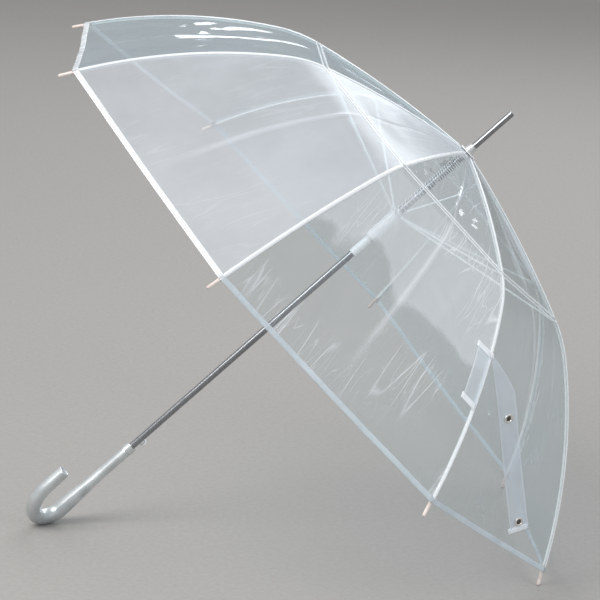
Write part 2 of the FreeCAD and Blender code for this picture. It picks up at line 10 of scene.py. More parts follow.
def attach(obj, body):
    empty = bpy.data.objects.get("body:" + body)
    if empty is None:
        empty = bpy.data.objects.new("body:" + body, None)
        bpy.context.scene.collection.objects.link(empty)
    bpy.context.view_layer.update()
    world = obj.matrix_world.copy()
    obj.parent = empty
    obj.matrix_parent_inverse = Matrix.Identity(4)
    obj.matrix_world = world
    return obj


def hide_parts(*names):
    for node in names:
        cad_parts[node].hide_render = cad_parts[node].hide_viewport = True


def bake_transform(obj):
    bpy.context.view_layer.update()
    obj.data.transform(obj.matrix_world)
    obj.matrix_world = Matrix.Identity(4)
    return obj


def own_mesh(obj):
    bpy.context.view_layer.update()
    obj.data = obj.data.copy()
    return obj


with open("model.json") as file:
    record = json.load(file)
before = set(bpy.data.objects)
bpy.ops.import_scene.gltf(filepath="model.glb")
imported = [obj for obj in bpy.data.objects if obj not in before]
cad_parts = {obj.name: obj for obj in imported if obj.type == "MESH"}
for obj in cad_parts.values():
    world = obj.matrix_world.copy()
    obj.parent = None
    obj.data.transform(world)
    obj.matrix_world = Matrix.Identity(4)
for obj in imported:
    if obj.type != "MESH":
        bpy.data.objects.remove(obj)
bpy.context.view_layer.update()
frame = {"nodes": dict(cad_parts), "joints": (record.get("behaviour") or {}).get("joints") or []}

# A clear vinyl stick umbrella, open and lying on its crook and two rib tips. Lengths are in metres.
# Shapes are worked out in the umbrella's own frame, with z along the shaft towards the ferrule and the
# top of the canopy at zero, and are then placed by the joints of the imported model. "Along" is the
# distance along a rib from the crown. Gore n is the film between rib n and the next one: its half a
# rides on rib n, and its half b on the next.

MM = 0.001
RIBS = 8
STEP = 2 * math.pi / RIBS
START_SLOPE = math.radians(7.8)
# The film's line over a rib: the length of each arc and how far it turns.
ARCS = [(0.2690, math.radians(10.2)), (0.0663, math.radians(18.0)), (0.2930, math.radians(21.6))]
JOINT_AT = 0.2690
TIP_AT = 0.6283
HINGE_DROP = 0.0044
RIB_DEPTH = 0.0030

joints = {j["name"]: j for j in frame["joints"]}
UP = -np.array(joints["runner_slide"]["axis"], float)
UP /= np.linalg.norm(UP)
SIDE = np.array([0.0, 1.0, 0.0])
DOWNHILL = np.cross(SIDE, UP)
AXES = np.array([DOWNHILL, SIDE, UP])
HINGES = np.array([joints[f"rib_{n}_fold"]["pos_m"] for n in range(1, RIBS + 1)], float)
APEX = HINGES.mean(0) + UP * HINGE_DROP


def rib_angle(rib):
    return STEP / 2 + STEP * (rib - 1)


def place(points):
    """Points of the umbrella's frame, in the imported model's frame."""
    return np.asarray(points, float).reshape(-1, 3) @ AXES + APEX


def smooth(low, high, x):
    t = np.clip((np.asarray(x, float) - low) / (high - low), 0, 1)
    return t * t * (3 - 2 * t)


def meridian(along):
    """Radius, height and heading of the film's line over a rib."""
    left = np.array(along, float)
    radius = np.zeros_like(left)
    height = np.zeros_like(left)
    heading = np.full_like(left, -START_SLOPE)
    for length, turn in ARCS:
        bend = length / turn
        turned = np.minimum(left, length) / bend
        radius = radius + bend * (np.sin(heading) - np.sin(heading - turned))
        height = height + bend * (np.cos(heading - turned) - np.cos(heading))
        heading = heading - turned
        left = left - np.minimum(left, length)
    return radius + left * np.cos(heading), height + left * np.sin(heading), heading


def gore_width(along):
    """The straight distance between the ribs on both sides of a gore."""
    return 2 * math.sin(STEP / 2) * meridian(along)[0]


def on_rib(rib, along, across, lift):
    """Points beside a rib's line: across is level and lift is outwards from the film."""
    radius, height, heading = meridian(along)
    out = radius - np.sin(heading) * lift
    rise = height + np.cos(heading) * lift
    a = rib_angle(rib)
    return np.stack(np.broadcast_arrays(out * math.cos(a) - across * math.sin(a),
                                        out * math.sin(a) + across * math.cos(a), rise), -1)


def on_gore(gore, along, share, lift):
    """Points on the film of a gore, a share of the way from its rib to the next one."""
    radius, height, heading = meridian(along)
    a, b = rib_angle(gore), rib_angle(gore + 1)
    x = radius * ((1 - share) * math.cos(a) + share * math.cos(b))
    y = radius * ((1 - share) * math.sin(a) + share * math.sin(b))
    lean = -np.sin(heading)
    rise = np.cos(heading) * math.cos(STEP / 2)
    size = np.hypot(lean, rise)
    middle = (a + b) / 2
    x = x + lift * lean / size * math.cos(middle)
    y = y + lift * lean / size * math.sin(middle)
    return np.stack(np.broadcast_arrays(x, y, height + lift * rise / size), -1)


# ---------------------------------------------------------------- meshes

def mesh_object(name, points, faces, material, local=True):
    """A smooth mesh. Its points are in the umbrella's frame if local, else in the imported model's."""
    mesh = bpy.data.meshes.new(name)
    co = place(points) if local else np.asarray(points, float).reshape(-1, 3)
    mesh.from_pydata([tuple(p) for p in co], [], faces)
    mesh.update()
    for poly in mesh.polygons:
        poly.use_smooth = True
    mesh.materials.append(material)
    obj = bpy.data.objects.new(name, mesh)
    bpy.context.scene.collection.objects.link(obj)
    return obj


def set_fold(obj, white):
    """How whitened the film is at each point, for its material."""
    fold = obj.data.attributes.new("fold", "FLOAT", "POINT")
    fold.data.foreach_set("value", np.array(white, float).ravel())


def grid_faces(rows, cols, wrap=False):
    faces = []
    for i in range(rows - 1):
        for j in range(cols if wrap else cols - 1):
            k = (j + 1) % cols
            faces.append((i * cols + j, i * cols + k, (i + 1) * cols + k, (i + 1) * cols + j))
    return faces


def around(sides):
    """Evenly spaced angles round a full turn."""
    return np.linspace(0, 2 * math.pi, sides, endpoint=False)


def swept(name, rings, material, local=True, caps=(True, True)):
    """A body through rings of points, closed at the ends that have caps."""
    rings = np.asarray(rings, float)
    rows, cols = rings.shape[:2]
    faces = grid_faces(rows, cols, wrap=True)
    if caps[0]:
        faces.append(tuple(range(cols))[::-1])
    if caps[1]:
        faces.append(tuple(range((rows - 1) * cols, rows * cols)))
    obj = mesh_object(name, rings.reshape(-1, 3), faces, material, local)
    for poly in obj.data.polygons:
        if len(poly.vertices) > 4:
            poly.use_smooth = False
    return obj


ANY_WAY = [0.3, 0.8, 0.52]     # no axis of any piece runs this way


def frames_along(path):
    """Two directions across a path, carried along without twist."""
    tangent = np.gradient(path, axis=0)
    tangent /= np.linalg.norm(tangent, axis=1)[:, None]
    first = np.cross(tangent[0], ANY_WAY)
    sides = []
    for t in tangent:
        first = first - t * first.dot(t)
        first /= np.linalg.norm(first)
        sides.append((first.copy(), np.cross(t, first)))
    return sides


def tube(name, path, radius, material, sides):
    turns = around(sides)
    rings = [p + radius * (np.cos(turns)[:, None] * a + np.sin(turns)[:, None] * b)
             for p, (a, b) in zip(path, frames_along(path))]
    return swept(name, rings, material)


def lathe(name, base, ahead, profile, material, sides, local=True):
    """A body turned about a line from base along ahead; profile is (distance, radius) in mm."""
    ahead = np.asarray(ahead, float) / np.linalg.norm(ahead)
    first = np.cross(ahead, ANY_WAY)
    first /= np.linalg.norm(first)
    second = np.cross(ahead, first)
    turns = around(sides)
    rings = [np.asarray(base) + ahead * distance * MM
             + radius * MM * (np.cos(turns)[:, None] * first + np.sin(turns)[:, None] * second)
             for distance, radius in profile]
    return swept(name, rings, material, local)


# ---------------------------------------------------------------- materials

def new_material(name):
    mat = bpy.data.materials.new(name)
    mat.use_nodes = True
    return mat, mat.node_tree, mat.node_tree.nodes["Principled BSDF"]


def put(nt, socket, value):
    """Links a socket to another node's output, or sets its value."""
    if isinstance(value, bpy.types.NodeSocket):
        nt.links.new(value, socket)
    else:
        socket.default_value = value


def noise_node(nt, scale, detail=4.0, rough=0.55, distortion=0.0, stretch=None, coords=None):
    """Noise over the object's coordinates, in metres, unless others are given."""
    if coords is None:
        coords = nt.nodes.new("ShaderNodeTexCoord").outputs["Object"]
    if stretch:
        mapping = nt.nodes.new("ShaderNodeMapping")
        mapping.inputs["Rotation"].default_value = stretch[0]
        mapping.inputs["Scale"].default_value = stretch[1]
        nt.links.new(coords, mapping.inputs["Vector"])
        coords = mapping.outputs["Vector"]
    tex = nt.nodes.new("ShaderNodeTexNoise")
    tex.inputs["Scale"].default_value = scale
    tex.inputs["Detail"].default_value = detail
    tex.inputs["Roughness"].default_value = rough
    tex.inputs["Distortion"].default_value = distortion
    nt.links.new(coords, tex.inputs["Vector"])
    return tex.outputs["Fac"]


def ramp(nt, source, stops):
    node = nt.nodes.new("ShaderNodeValToRGB")
    while len(node.color_ramp.elements) < len(stops):
        node.color_ramp.elements.new(0.5)
    for element, (at, colour) in zip(node.color_ramp.elements, stops):
        element.position = at
        element.color = (*colour, 1) if hasattr(colour, "__len__") else (colour, colour, colour, 1)
    nt.links.new(source, node.inputs["Fac"])
    return node.outputs["Color"]


def bump(nt, source, strength, distance):
    node = nt.nodes.new("ShaderNodeBump")
    node.inputs["Strength"].default_value = strength
    node.inputs["Distance"].default_value = distance
    nt.links.new(source, node.inputs["Height"])
    return node.outputs["Normal"]


def math_node(nt, operation, *values, clamp=False):
    node = nt.nodes.new("ShaderNodeMath")
    node.operation = operation
    node.use_clamp = clamp
    for socket, value in zip(node.inputs, values):
        put(nt, socket, value)
    return node.outputs[0]


def shader(nt, kind, colour):
    node = nt.nodes.new(kind)
    node.inputs["Color"].default_value = (*colour, 1)
    return node


def mix_shader(nt, share, first, second):
    node = nt.nodes.new("ShaderNodeMixShader")
    for socket, value in zip(node.inputs, (share, first, second)):
        put(nt, socket, value)
    return node.outputs[0]


COAT_ROUGH = 0.08
SKIN_DEPTH = (0.004, 0.004, 0.004)


def finish_material(name, dark, light, rough, scale, metallic=0.0, bumps=0.15, depth=0.0002,
                    stretch=None, fine=900.0, coat=0.0, sss=0.0):
    """A finish with uneven colour at one scale, and uneven roughness and relief at a finer one."""
    mat, nt, bsdf = new_material(name)
    wide = noise_node(nt, scale, stretch=stretch)
    grain = noise_node(nt, fine, detail=3.0, stretch=stretch)
    nt.links.new(ramp(nt, wide, [(0.32, dark), (0.68, light)]), bsdf.inputs["Base Color"])
    nt.links.new(ramp(nt, grain, [(0.3, rough[0]), (0.7, rough[1])]), bsdf.inputs["Roughness"])
    nt.links.new(bump(nt, grain, bumps, depth), bsdf.inputs["Normal"])
    bsdf.inputs["Metallic"].default_value = metallic
    bsdf.inputs["Coat Weight"].default_value = coat
    bsdf.inputs["Coat Roughness"].default_value = COAT_ROUGH
    bsdf.inputs["Subsurface Weight"].default_value = sss
    bsdf.inputs["Subsurface Radius"].default_value = SKIN_DEPTH
    return mat


# Drawn metal is streaked along the shaft.
DRAWN = ((0, -math.acos(min(1.0, UP[2])), 0), (30, 30, 1.0))
FINISHES = {
    "bright_steel": dict(dark=(0.27, 0.275, 0.29), light=(0.36, 0.365, 0.38), rough=(0.22, 0.26),
                         scale=18.0, metallic=1.0, bumps=0.01, depth=0.00001, stretch=DRAWN),
    "spring_steel": dict(dark=(0.82, 0.83, 0.85), light=(0.96, 0.97, 0.98), rough=(0.24, 0.38), scale=160.0,
                         metallic=0.55, bumps=0.1),
    "white_plastic": dict(dark=(0.87, 0.88, 0.91), light=(0.95, 0.96, 0.98), rough=(0.28, 0.42), scale=55.0,
                          bumps=0.12, coat=0.25, sss=0.15),
    "button_white": dict(dark=(0.92, 0.93, 0.94), light=(0.99, 0.99, 0.99), rough=(0.2, 0.32), scale=120.0,
                         bumps=0.08, coat=0.4, sss=0.1),
    "collar_silver": dict(dark=(0.62, 0.64, 0.64), light=(0.80, 0.82, 0.82), rough=(0.24, 0.38), scale=90.0,
                          metallic=0.8, bumps=0.1, coat=0.3),
    "pearl_silver": dict(dark=(0.56, 0.59, 0.60), light=(0.72, 0.75, 0.76), rough=(0.27, 0.42), scale=45.0,
                         metallic=0.72, bumps=0.1, fine=1600.0, coat=0.45),
    "rib_white": dict(dark=(0.86, 0.88, 0.88), light=(0.97, 0.98, 0.98), rough=(0.3, 0.5), scale=60.0),
    "stretcher_white": dict(dark=(0.80, 0.83, 0.84), light=(0.94, 0.96, 0.97), rough=(0.26, 0.45),
                            scale=80.0),
    "cap_cream": dict(dark=(0.62, 0.53, 0.49), light=(0.76, 0.68, 0.64), rough=(0.35, 0.5), scale=150.0,
                      bumps=0.2, sss=0.1),
    "snap_steel": dict(dark=(0.78, 0.76, 0.72), light=(0.95, 0.93, 0.89), rough=(0.12, 0.26), scale=260.0,
                       metallic=1.0, bumps=0.1),
    "snap_dark": dict(dark=(0.05, 0.05, 0.05), light=(0.14, 0.13, 0.12), rough=(0.25, 0.5), scale=300.0,
                      metallic=0.7, bumps=0.2),
    "floor": dict(dark=(0.305, 0.293, 0.281), light=(0.332, 0.320, 0.308), rough=(0.75, 0.9), scale=140.0,
                  bumps=0.04, fine=700.0),
}
FINISH = {name: finish_material(name, **settings) for name, settings in FINISHES.items()}

# Whitened crinkles: the scale across, along and between gores, the width of a line and its share.
VEINS = (((42.0, 4.0, 3.0), 0.020, 1.0), ((95.0, 10.0, 5.0), 0.022, 0.6))
VEIN_PATCHES = 9.0


def add_veins(nt, veil, strength):
    """Adds thin whitened crinkles, which run mostly along the ribs, to how milky the film is."""
    flat = nt.nodes.new("ShaderNodeAttribute")
    flat.attribute_name = "flat"
    for scale, width, share in VEINS:
        field = noise_node(nt, 1.0, detail=0.6, rough=0.5, distortion=0.25,
                           stretch=((0, 0, 0), scale), coords=flat.outputs["Vector"])
        off = math_node(nt, "ABSOLUTE", math_node(nt, "SUBTRACT", field, 0.5))
        line = ramp(nt, off, [(0.0, 1.0), (width, 0.0)])
        patch = ramp(nt, noise_node(nt, VEIN_PATCHES, detail=1.0), [(0.42, 0.0), (0.62, 1.0)])
        lit = math_node(nt, "MULTIPLY", line, patch)
        veil = math_node(nt, "ADD", veil, math_node(nt, "MULTIPLY", lit, strength * share))
    return math_node(nt, "MINIMUM", veil, 1.0)


CLOUD_SCALE = 7.0
GLOW_SHARE = 0.4                # of the milkiness that lets light through
GLOSS_COLOUR = (0.94, 0.97, 1.0)
RELIEF_DEPTH = 0.004
EDGE_POWER = 4.0
EDGE_GLOSS = 0.8                # the gloss added where the film is seen edge on


def film_material(name, tint, milk, haze, rough, crinkle, crinkle_scale, gloss=0.07, folds=0.55, veins=0.0):
    """Clear vinyl: what is behind it shows through, faintly milky, with bright folds and a gloss."""
    mat, nt, bsdf = new_material(name)
    nt.nodes.remove(bsdf)
    cloud = ramp(nt, noise_node(nt, CLOUD_SCALE, detail=3.0), [(0.3, haze[0]), (0.72, haze[1])])
    fold = nt.nodes.new("ShaderNodeAttribute")
    fold.attribute_name = "fold"
    milkiness = math_node(nt, "MULTIPLY_ADD", fold.outputs["Fac"], folds, cloud, clamp=True)
    if veins:
        milkiness = add_veins(nt, milkiness, veins)
    lines = noise_node(nt, crinkle_scale, detail=2.5, rough=0.45, distortion=0.6)
    relief = bump(nt, lines, crinkle, RELIEF_DEPTH)
    clear = shader(nt, "ShaderNodeBsdfTransparent", tint)
    milky = shader(nt, "ShaderNodeBsdfDiffuse", milk)
    glow = shader(nt, "ShaderNodeBsdfTranslucent", milk)
    veil = mix_shader(nt, GLOW_SHARE, milky.outputs[0], glow.outputs[0])
    body = mix_shader(nt, milkiness, clear.outputs[0], veil)
    shine = shader(nt, "ShaderNodeBsdfGlossy", GLOSS_COLOUR)
    shine.inputs["Roughness"].default_value = rough
    nt.links.new(relief, shine.inputs["Normal"])
    facing = nt.nodes.new("ShaderNodeLayerWeight")
    facing.inputs["Blend"].default_value = 0.5
    nt.links.new(relief, facing.inputs["Normal"])
    edge = math_node(nt, "POWER", facing.outputs["Facing"], EDGE_POWER)
    mirror = math_node(nt, "MULTIPLY_ADD", edge, EDGE_GLOSS, gloss, clamp=True)
    surface = mix_shader(nt, mirror, body, shine.outputs[0])
    nt.links.new(surface, nt.nodes["Material Output"].inputs["Surface"])
    return mat


CLEAR_TINT = (0.90, 0.945, 0.955)
FILMS = {
    "clear_vinyl": dict(tint=CLEAR_TINT, milk=(0.80, 0.85, 0.90), haze=(0.05, 0.12), rough=0.07,
                        crinkle=0.35, crinkle_scale=9.0, veins=0.10),
    # The fifth gore's film is painted milky white with its gloss nearly off: a painted reflection of the
    # sky, not frosting.
    "clear_vinyl_painted_sky": dict(tint=(0.90, 0.94, 0.97), milk=(0.80, 0.84, 0.90), haze=(0.34, 0.5),
                               rough=0.2, crinkle=0.10, crinkle_scale=6.0, gloss=0.008, veins=0.07),
    "clear_vinyl_crinkled": dict(tint=CLEAR_TINT, milk=(0.88, 0.91, 0.95), haze=(0.04, 0.11), rough=0.07,
                                 crinkle=0.6, crinkle_scale=22.0, folds=0.85, veins=0.55),
    "clear_vinyl_teal": dict(tint=(0.70, 0.81, 0.83), milk=(0.62, 0.74, 0.78), haze=(0.08, 0.2), rough=0.08,
                             crinkle=0.5, crinkle_scale=12.0, veins=0.30),
    "seam_vinyl": dict(tint=(0.97, 0.99, 1.0), milk=(0.98, 0.99, 1.0), haze=(0.82, 0.96), rough=0.2,
                       crinkle=0.3, crinkle_scale=90.0),
    "hem_vinyl": dict(tint=(0.97, 0.98, 1.0), milk=(0.98, 0.985, 1.0), haze=(0.9, 0.99), rough=0.2,
                      crinkle=0.35, crinkle_scale=60.0),
    "hem_vinyl_clear": dict(tint=(0.88, 0.92, 0.94), milk=(0.84, 0.88, 0.92), haze=(0.35, 0.7), rough=0.12,
                            crinkle=0.4, crinkle_scale=40.0),
    "strap_vinyl": dict(tint=(0.85, 0.89, 0.93), milk=(0.80, 0.85, 0.92), haze=(0.34, 0.5), rough=0.18,
                        crinkle=0.3, crinkle_scale=50.0),
    "patch_vinyl": dict(tint=(0.90, 0.94, 0.97), milk=(0.88, 0.91, 0.95), haze=(0.26, 0.4), rough=0.14,
                        crinkle=0.4, crinkle_scale=70.0),
    "weld_white": dict(tint=(0.96, 0.98, 1.0), milk=(0.97, 0.98, 1.0), haze=(0.84, 0.96), rough=0.3,
                       crinkle=0.5, crinkle_scale=300.0),
}
FILM = {name: film_material(name, **settings) for name, settings in FILMS.items()}

# ---------------------------------------------------------------- the film

TEAL_GORE = 4
# The gore whose film carries the painted reflection of the sky as milky white.
PAINTED_SKY_GORE = 5
CRINKLED_GORE = 6
GORE_FILM = {TEAL_GORE: FILM["clear_vinyl_teal"], PAINTED_SKY_GORE: FILM["clear_vinyl_painted_sky"],
             CRINKLED_GORE: FILM["clear_vinyl_crinkled"]}

# Creases that the folded film keeps: (share across, along) at one end, the same at the other, height in
# mm and half width in mm. Every gore has a middle fold, two long side folds, two folds up from each rim
# corner and some short ones. The gore beside the strap also has two pleats and is the most crumpled.
MIDDLE_FOLD = (0.5, 0.05, 0.5, 0.62, 0.9, 2.4)
SIDE_FOLDS = [(0.27, 0.20, 0.24, 0.63, 0.35, 2.0), (0.74, 0.18, 0.76, 0.63, 0.35, 2.0)]
CORNER_FOLDS = ((0.02, 0.34), (0.98, 0.66), (0.03, 0.2), (0.97, 0.8))
PLEATS = [(0.995, 0.624, 0.86, 0.495, 1.3, 6.0), (0.995, 0.622, 0.935, 0.49, 1.0, 5.0)]
SHORT_FOLDS = {CRINKLED_GORE: 40, TEAL_GORE: 12, PAINTED_SKY_GORE: 3}
SPREAD = 0.77                   # a gore's width over the distance along it, near enough for creases
random.seed(7)


def creases_of(gore):
    found = [MIDDLE_FOLD, *SIDE_FOLDS]
    for corner, other in CORNER_FOLDS:
        found.append((corner, 0.622, other, random.uniform(0.40, 0.47), random.uniform(0.3, 0.8), 5.0))
    if gore == CRINKLED_GORE:
        found += PLEATS
    strength = 1.0 if gore in (TEAL_GORE, CRINKLED_GORE) else 0.4
    for _ in range(SHORT_FOLDS.get(gore, 6)):
        u, s = random.uniform(0.12, 0.88), random.uniform(0.22, 0.56)
        turn, reach = random.uniform(0, math.pi), random.uniform(0.03, 0.09)
        across, ahead = math.cos(turn) * reach / (SPREAD * s), math.sin(turn) * reach
        found.append((u - across, s - ahead, u + across, s + ahead,
                      random.uniform(-1.2, 1.7) * strength, random.uniform(5.0, 9.0)))
    return found


CREASES = {gore: creases_of(gore) for gore in range(1, RIBS + 1)}

OUTER_SAG = 0.0045
INNER_SAG = 0.0020
LOOSENESS = {CRINKLED_GORE: 1.6, TEAL_GORE: 1.3, PAINTED_SKY_GORE: 0.4}
WIDE_WAVES = (11, 16, 3.7, 1.6)         # per metre along and across, step between gores, height
FINE_WAVES = (30, 44, 5.1, 0.55)
FOLD_WHITE = 0.5                        # how whitened the film is along its middle fold,
KNEE_WHITE = 0.35                       # along the line of the stretcher joints,
TORN_WHITE = 0.42                       # and in the milky stretch of the most crumpled gore
TORN_EDGE = 0.030


def film_relief(gore, along, share):
    """How far the film stands off the straight line between its ribs, and how whitened it is."""
    side = (share - 0.5) * gore_width(along)
    free = np.sin(np.clip(share, 0, 1) * math.pi)
    held = smooth(0.0, 0.05, np.abs(along - JOINT_AT)) * smooth(0.005, 0.06, along)
    sag = -OUTER_SAG * smooth(JOINT_AT, 0.58, along) * free ** 1.5
    sag = sag - INNER_SAG * smooth(0.03, 0.15, along) * (1 - smooth(0.2, JOINT_AT, along)) * free
    waves = np.array([sum(noise.noise(Vector((s * ahead, w * across, gore * step))) * height
                          for ahead, across, step, height in (WIDE_WAVES, FINE_WAVES))
                      for s, w in zip(along.ravel(), side.ravel())]).reshape(along.shape)
    ripple = waves * LOOSENESS.get(gore, 0.8) * MM * np.sqrt(free) * held
    white = np.zeros_like(along)
    for crease in CREASES[gore]:
        u0, s0, u1, s1, high, half = crease
        x0, y0 = s0, (u0 - 0.5) * SPREAD * s0
        x1, y1 = s1, (u1 - 0.5) * SPREAD * s1
        dx, dy = x1 - x0, y1 - y0
        length = math.hypot(dx, dy)
        t = ((along - x0) * dx + (side - y0) * dy) / length ** 2
        off = np.abs((along - x0) * dy - (side - y0) * dx) / length
        ends = smooth(0, 0.25, t) * (1 - smooth(0.75, 1.0, t))
        line = np.exp(-(off / (half * MM)) ** 2) * ends * np.sqrt(free)
        ripple = ripple + high * MM * line * held
        if crease is MIDDLE_FOLD:
            white = np.exp(-(off / (half * 0.45 * MM)) ** 2) * ends * FOLD_WHITE
    white = np.maximum(white, KNEE_WHITE * np.exp(-((along - JOINT_AT) / 0.004) ** 2))
    if gore == CRINKLED_GORE:
        torn = 1 - smooth(0.430, 0.446, along + waves * TORN_EDGE)
        white = white + TORN_WHITE * smooth(JOINT_AT - 0.01, JOINT_AT + 0.03, along) * torn
    return sag + ripple, white


def rib_of(gore, half):
    """The rib that carries half a gore."""
    return gore if half == "a" else gore % RIBS + 1


def half_shares(half, count):
    """Shares across half a gore, up to its middle fold or on from there."""
    return np.linspace(0, 0.5, count) if half == "a" else np.linspace(0.5, 1, count)


# Half a gore would flatten onto a plane through its rib as the umbrella closes. The first number turns that
# plane from upright (0) towards the gore's middle (1), and the second is the slope of the rib in it.
FOLD_LEAN = {"inner": (0.055, math.radians(12.9)), "outer": (0.5, math.radians(46.8))}


def fold_away(obj, gore, half, part):
    """Works out the plane that half a gore would fold flat onto along the rib that carries it, and gives
    the piece a mesh of its own.
    """
    rib = rib_of(gore, half)
    ahead = 1 if half == "a" else -1
    share, slope = FOLD_LEAN[part]
    a = rib_angle(rib)
    out = np.array([math.cos(a), math.sin(a), 0])
    level = np.array([-math.sin(a), math.cos(a), 0])
    lean = -math.tan(STEP / 2) * math.cos(STEP / 2) * share
    normal = out * lean + level * ahead * math.cos(STEP / 2)
    normal = normal + np.array([0, 0, lean / math.tan(slope)])
    anchor = on_rib(rib, np.array([JOINT_AT]), 0.0, 0.0)[0]
    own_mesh(obj)


ALONG = {"inner": np.concatenate([[0.0066, 0.0100], np.linspace(0.0144, JOINT_AT, 48)]),
         "outer": np.linspace(JOINT_AT, TIP_AT, 74)}
FILM_COLUMNS = 25
GORE_SHIFT = 0.7                # moves each gore to its own part of the crinkles' noise


def film_half(gore, part, half):
    rows = ALONG[part]
    cols = half_shares(half, FILM_COLUMNS)
    along, share = np.meshgrid(rows, cols, indexing="ij")
    lift, white = film_relief(gore, along, share)
    obj = mesh_object(f"film_{part}_{gore}{half}", on_gore(gore, along, share, lift),
                      grid_faces(len(rows), len(cols)), GORE_FILM.get(gore, FILM["clear_vinyl"]))
    set_fold(obj, white)
    side = (share - 0.5) * gore_width(along)
    spots = np.stack([side, along, np.full_like(side, gore * GORE_SHIFT)], -1)
    flat = obj.data.attributes.new("flat", "FLOAT_VECTOR", "POINT")
    flat.data.foreach_set("vector", spots.ravel())
    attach(obj, f"rib_{part}_{rib_of(gore, half)}")
    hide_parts(f"film_{part}_{gore}")
    fold_away(obj, gore, half, part)


# Bands across the gores: name, part of the rib, middle along it, half width, half height, lift off the
# film, and whether the band follows the film's relief.
BANDS = [("rim_hem", "outer", TIP_AT - 0.0032, 0.0042, 0.0007, 0.0004, True),
         ("crease_band", "inner", JOINT_AT - 0.0026, 0.0020, 0.0005, 0.0003, False),
         ("knee_band", "outer", JOINT_AT + 0.0052, 0.0016, 0.0005, 0.0003, False)]
BAND_COLUMNS = 33
WHITE_HEMS = (3, 4, 5)


def band_half(gore, half, kind, part, middle, reach, height, raise_by, follow):
    """A narrow closed band across half a gore, at one distance along the ribs."""
    turns = around(12)
    along = middle + reach * np.cos(turns)
    rings = []
    for u in half_shares(half, BAND_COLUMNS):
        share = np.full_like(along, u)
        base = film_relief(gore, np.full_like(along, middle), share)[0] if follow else 0.0
        rings.append(on_gore(gore, along, share, base + raise_by + height * np.sin(turns)))
    if kind == "rim_hem":
        material = FILM["hem_vinyl" if gore in WHITE_HEMS else "hem_vinyl_clear"]
    else:
        material = FILM["seam_vinyl"]
    obj = swept(f"{kind}_{gore}{half}", rings, material, caps=(half == "a", half == "b"))
    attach(obj, f"rib_{part}_{rib_of(gore, half)}")
    fold_away(obj, gore, half, part)


for gore in range(1, RIBS + 1):
    for half in "ab":
        for part in ("inner", "outer"):
            film_half(gore, part, half)
        for band in BANDS:
            band_half(gore, half, *band)

# (across, lift) in mm round the seam: a low roof on top and a nearly flat underside.
SEAM_PROFILE = [(-3.1, 0.05), (-2.6, 0.42), (-1.6, 0.72), (-0.6, 0.98), (0.6, 0.98), (1.6, 0.72),
                (2.6, 0.42), (3.1, 0.05), (2.5, -0.05), (0.8, 0.1), (-0.8, 0.1), (-2.5, -0.05)]
SEAM_ROWS = {"inner": np.linspace(0.013, JOINT_AT - 0.0004, 44), "outer": np.linspace(JOINT_AT, TIP_AT, 60)}


def seam(rib, part):
    """The welded seam over a rib, where two gores of film are doubled."""
    across, lift = np.array(SEAM_PROFILE).T * MM
    rings = []
    for s in SEAM_ROWS[part]:
        heading = meridian(s)[2]
        drop = np.abs(across) * math.tan(STEP / 2) * -np.sin(heading)
        rings.append(on_rib(rib, np.full_like(across, s), across, lift - drop))
    obj = swept(f"seam_{part}_{rib}", rings, FILM["seam_vinyl"])
    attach(obj, f"rib_{part}_{rib}")


CAP_AT = TIP_AT - 0.010
CAP_PROFILE = [(-0.6, 1.2), (-0.6, 2.0), (0.2, 2.45), (6.8, 2.5), (7.4, 3.0), (9.4, 3.1), (10.2, 2.55),
               (18.0, 2.45), (26.5, 2.42), (28.0, 2.38), (29.0, 2.16), (29.8, 1.52), (30.25, 0.85),
               (30.4, 0.02)]


def rib_cap(rib):
    """The cap on a rib's tip: a sleeve with a collar where the film is held, and a round end."""
    heading = float(meridian(CAP_AT)[2])
    base = on_rib(rib, np.array([CAP_AT]), 0.0, -RIB_DEPTH)[0]
    a = rib_angle(rib)
    ahead = np.array([math.cos(a) * math.cos(heading), math.sin(a) * math.cos(heading), math.sin(heading)])
    obj = lathe(f"rib_cap_{rib}", base, ahead, CAP_PROFILE, FINISH["cap_cream"], sides=24)
    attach(obj, f"rib_outer_{rib}")


for rib in range(1, RIBS + 1):
    seam(rib, "inner")
    seam(rib, "outer")
    rib_cap(rib)

# ---------------------------------------------------------------- spring

SPRING_TOP = -0.0096
SPRING_END = -0.1290
SPRING_TURNS = 27.0
SPRING_STEPS = 22
SPRING_RADIUS = 0.0066
SPRING_WIRE = 0.00078


def opening_spring():
    """Close turns near the crown that open out towards the runner."""
    t = np.linspace(0, 1, int(SPRING_TURNS * SPRING_STEPS))
    height = SPRING_TOP + (SPRING_END - SPRING_TOP) * (0.74 * t + 0.26 * t ** 3.2)
    angle = 2 * math.pi * SPRING_TURNS * t
    path = np.stack([SPRING_RADIUS * np.cos(angle), SPRING_RADIUS * np.sin(angle), height], -1)
    obj = tube("opening_spring", path, SPRING_WIRE, FINISH["spring_steel"], sides=8)
    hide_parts("open_spring")
    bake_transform(obj)


opening_spring()

# ---------------------------------------------------------------- handle

# The handle's middle line: straight down from its top, round a tight bend, round an easy one until it
# points up again, and straight up to the hook's end. Heights are below the top of the canopy.
GRIP_TOP = 0.6585
SWELL_START = 0.705
SWELL_END = 0.796
BEND_START = 0.792
BEND_RADIUS = 0.027
BEND_TURN = math.radians(140)
EASY_RADIUS = 0.060
HOOK_LENGTH = 0.034
HOOK_WAY = math.radians(40)     # the hook points uphill, turned this far towards -Y
# The handle's own radius at its top, in the tight bend, after it, after the easy one, and at its end.
TOP_RADIUS, BEND_THICK, EASY_THICK, HOOK_THICK, END_THICK = 0.0076, 0.0113, 0.0104, 0.0096, 0.0089


def arc_point(centre, radius, turn):
    return tuple(centre - radius * np.array([math.cos(turn), math.sin(turn)]))


